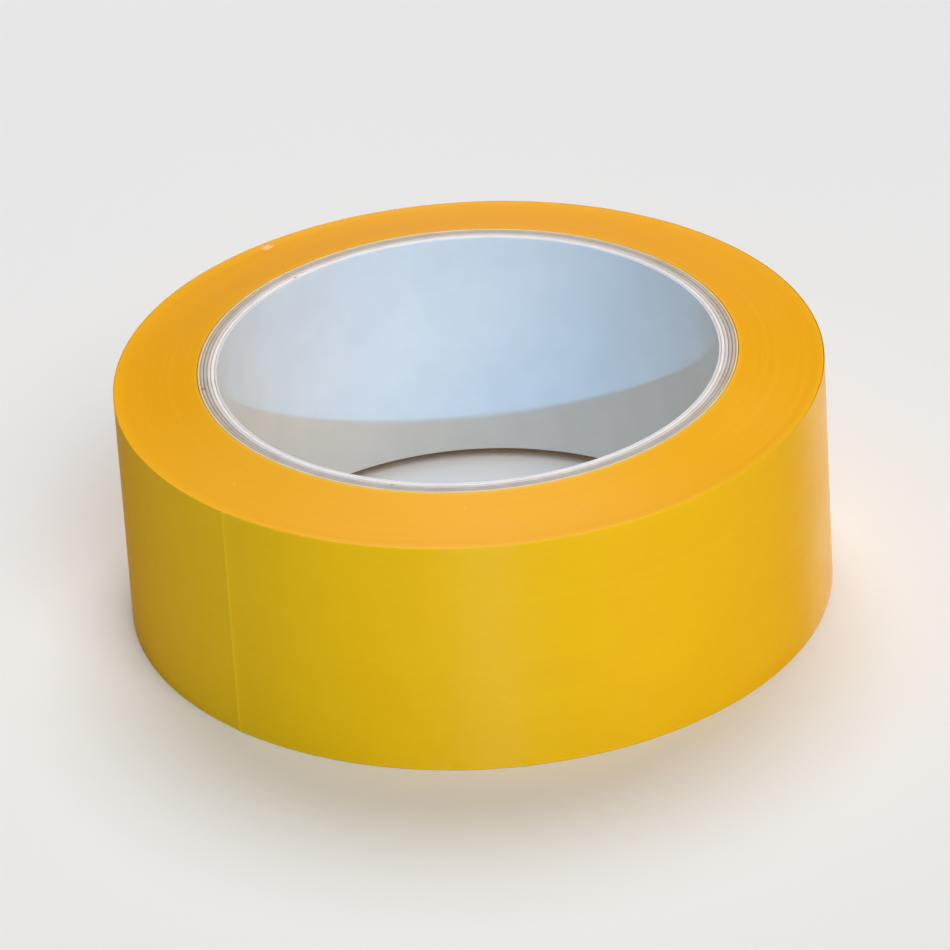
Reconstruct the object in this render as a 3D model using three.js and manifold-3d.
// Masking tape roll: a paper tape wound on a spiral-wound paperboard core.
// Millimetres, +Z up. The roll lies flat: its axis is the Z axis and it rests on z = 0.
// Angles are in degrees, anticlockwise from +X seen from above.
import * as THREE from 'three';
import { mergeVertices } from 'three/addons/utils/BufferGeometryUtils.js';
import Module from 'manifold-3d';

// ---- core ----
const WIDTH = 38;              // slit width of the tape, and length of the core
const TELESCOPE = 2;           // how far the core and the first turns sit above the outer turns
const CORE_LOW = TELESCOPE;
const CORE_HIGH = CORE_LOW + WIDTH;
const CORE_BORE_R = 76.2 / 2;  // standard 3 in core
const PLY_GAP = 0.05;          // glue line between two plies
// From the bore outwards: name, thickness, seam angle at the core's lower end, colour.
const PLIES = [
  ['core_liner', 0.35, -155, 0xe9ebee],
  ['core_ply_1', 0.50, 20, 0xe4e4e0],
  ['core_ply_2', 0.50, 140, 0xb4babc],
  ['core_ply_3', 0.50, 260, 0xb4babc],
  ['core_ply_4', 0.50, 75, 0xcfc9ba],
  ['core_wrap', 0.35, 200, 0xe6ddc8],
];
const SEAM_LEAD = 122;         // climb of a ply strip in one turn: strips about 110 mm wide
const SEAM_GAP = 0.28;         // height of the butt seam between two edges of a strip
const BLADE_OVERRUN = 2;       // how far the seam cutter passes each end of the core
const BLADE_MARGIN = 1;        // how far it passes a ply's inner and outer surfaces
const BLADE_STEP_DEG = 7.5;    // longest step of its helix

// ---- wound tape ----
const PACK_INNER_R = 41.12;    // first turn on the core
const LAND_R = 51;             // side faces are flat outside this radius and cone up inside it
const PACK_OUTER_R = 53.68;    // last whole turn under the outermost one

// ---- outermost turn, thicker than one real layer so that it is a workable solid ----
const TURN_INNER_R = 53.74;
const TURN_OUTER_R = 54.10;
const FREE_END_DEG = -134;     // where the tape stops
const PEEL_LINE_DEG = -70;     // where the free end begins
const END_SEGMENTS = 8;        // separate lengths that stand in for the flexible end
const JOINT_GAP_DEG = 0.03;    // half the slit between two neighbouring lengths

// ---- facets ----
const RING_FACETS = 96;        // round the core and the pack
const RING_PHASE_DEG = -360 / RING_FACETS / 4;
const TURN_STEP_DEG = 2;       // along the outermost turn

const { degToRad } = THREE.MathUtils;

// ---- materials ----
function matte({ color, roughness }) {
  return new THREE.MeshStandardMaterial({ color, roughness, metalness: 0 });
}

const paperboard = (color) => matte({ color, roughness: 0.7 });
const packedTape = () => matte({ color: 0xe8ae20, roughness: 0.55 });
const outerTape = () => matte({ color: 0xe9b81c, roughness: 0.5 });

// ---- mesh clean-up ----
function signedVolume(geometry) {
  const position = geometry.getAttribute('position');
  const index = geometry.index.array;
  const corners = [new THREE.Vector3(), new THREE.Vector3(), new THREE.Vector3()];
  let total = 0;
  for (let i = 0; i < index.length; i += 3) {
    corners.forEach((corner, k) => corner.fromBufferAttribute(position, index[i + k]));
    const [first, second, third] = corners;
    total += first.dot(second.cross(third)) / 6;
  }
  return total;
}

// Merges shared vertices, drops collapsed triangles and points the faces out of the solid.
function closedSurface(source) {
  source.deleteAttribute('normal');
  source.deleteAttribute('uv');
  const geometry = mergeVertices(source, 1e-5);
  const index = geometry.index.array;
  const inward = signedVolume(geometry) < 0;
  const kept = [];
  for (let i = 0; i < index.length; i += 3) {
    const [first, second, third] = index.slice(i, i + 3);
    if (first === second || second === third || third === first) continue;
    if (inward) kept.push(first, third, second);
    else kept.push(first, second, third);
  }
  geometry.setIndex(kept);
  return geometry;
}

function indexedGeometry(positions, index) {
  const geometry = new THREE.BufferGeometry();
  geometry.setAttribute('position', new THREE.BufferAttribute(Float32Array.from(positions), 3));
  geometry.setIndex(Array.from(index));
  return geometry;
}

// ---- solid cutting ----
const manifold = await Module();
manifold.setup();

function toSolid(geometry) {
  return new manifold.Manifold(new manifold.Mesh({
    numProp: 3,
    vertProperties: Float32Array.from(geometry.getAttribute('position').array),
    triVerts: Uint32Array.from(geometry.index.array),
  }));
}

function subtract(body, cutter) {
  const result = toSolid(body).subtract(toSolid(cutter)).getMesh();
  return indexedGeometry(result.vertProperties, result.triVerts);
}

// ---- shapes ----
// A ring turned about Z from an (r, z) outline that runs anticlockwise in the r-z plane.
function ring(outline) {
  const points = [...outline, outline[0]].map(([r, z]) => new THREE.Vector2(r, z));
  const geometry = new THREE.LatheGeometry(points, RING_FACETS);
  geometry.rotateX(Math.PI / 2);   // the lathe axis is Y; +Y becomes +Z
  geometry.rotateZ(degToRad(RING_PHASE_DEG));
  return closedSurface(geometry);
}

// A length of the outermost turn, the full width of the tape.
function turnLength(startDeg, endDeg) {
  const sweep = endDeg - startDeg;
  const steps = Math.round(sweep / TURN_STEP_DEG);
  const outer = [];
  const inner = [];
  for (let i = 0; i <= steps; i++) {
    const angle = degToRad(startDeg + (sweep * i) / steps);
    const direction = new THREE.Vector2(Math.cos(angle), Math.sin(angle));
    outer.push(direction.clone().multiplyScalar(TURN_OUTER_R));
    inner.unshift(direction.multiplyScalar(TURN_INNER_R));
  }
  const shape = new THREE.Shape([...outer, ...inner]);
  shape.closePath();
  return closedSurface(new THREE.ExtrudeGeometry(shape, {
    depth: WIDTH,
    bevelEnabled: false,
    steps: 1,
  }));
}

// A thin helical cutter for a ply's butt seam. It climbs anticlockwise.
function seamBlade(innerR, outerR, seamDeg) {
  const low = CORE_LOW - BLADE_OVERRUN;
  const high = CORE_HIGH + BLADE_OVERRUN;
  const steps = Math.ceil(((high - low) / SEAM_LEAD) * 360 / BLADE_STEP_DEG);
  const half = SEAM_GAP / 2;
  const section = [[innerR, -half], [outerR, -half], [outerR, half], [innerR, half]];
  const positions = [];
  for (let i = 0; i <= steps; i++) {
    const z = low + ((high - low) * i) / steps;
    const angle = degToRad(seamDeg + ((z - CORE_LOW) / SEAM_LEAD) * 360);
    for (const [r, rise] of section) {
      positions.push(r * Math.cos(angle), r * Math.sin(angle), z + rise);
    }
  }
  const index = [];
  for (let i = 0; i < steps; i++) {
    for (let k = 0; k < 4; k++) {
      const here = 4 * i + k;
      const beside = 4 * i + ((k + 1) % 4);
      index.push(here, beside, beside + 4, here, beside + 4, here + 4);
    }
  }
  const end = 4 * steps;
  index.push(0, 2, 1, 0, 3, 2);
  index.push(end, end + 1, end + 2, end, end + 2, end + 3);
  return closedSurface(indexedGeometry(positions, index));
}

// ---- pieces ----
const roll = new THREE.Group();

function add(name, geometry, material) {
  geometry.computeVertexNormals();
  const mesh = new THREE.Mesh(geometry, material);
  mesh.name = name;
  roll.add(mesh);
}

// Strips of paper and board wound in a spiral, each with a helical butt seam.
function addCore() {
  let innerR = CORE_BORE_R;
  for (const [name, thickness, seamDeg, colour] of PLIES) {
    const outerR = innerR + thickness;
    const tube = ring([
      [innerR, CORE_LOW],
      [outerR, CORE_LOW],
      [outerR, CORE_HIGH],
      [innerR, CORE_HIGH],
    ]);
    const blade = seamBlade(innerR - BLADE_MARGIN, outerR + BLADE_MARGIN, seamDeg);
    add(name, subtract(tube, blade), paperboard(colour));
    innerR = outerR + PLY_GAP;
  }
}

// All the turns under the outermost one, as a single ring.
function addPack() {
  add('tape_pack', ring([
    [PACK_INNER_R, CORE_LOW],
    [LAND_R, 0],
    [PACK_OUTER_R, 0],
    [PACK_OUTER_R, WIDTH],
    [LAND_R, WIDTH],
    [PACK_INNER_R, CORE_HIGH],
  ]), packedTape());
}

function addTurnLength(name, startDeg, endDeg) {
  add(name, turnLength(startDeg + JOINT_GAP_DEG, endDeg - JOINT_GAP_DEG), outerTape());
}

// The outermost turn, then the free end in lengths numbered from the peel line to the cut edge.
function addOuterTurn() {
  addTurnLength('outer_turn', PEEL_LINE_DEG, FREE_END_DEG + 360);
  const span = (PEEL_LINE_DEG - FREE_END_DEG) / END_SEGMENTS;
  for (let k = 1; k <= END_SEGMENTS; k++) {
    const endDeg = PEEL_LINE_DEG - span * (k - 1);
    addTurnLength(`tape_end_${k}`, endDeg - span, endDeg);
  }
}

addCore();
addPack();
addOuterTurn();

export default roll;
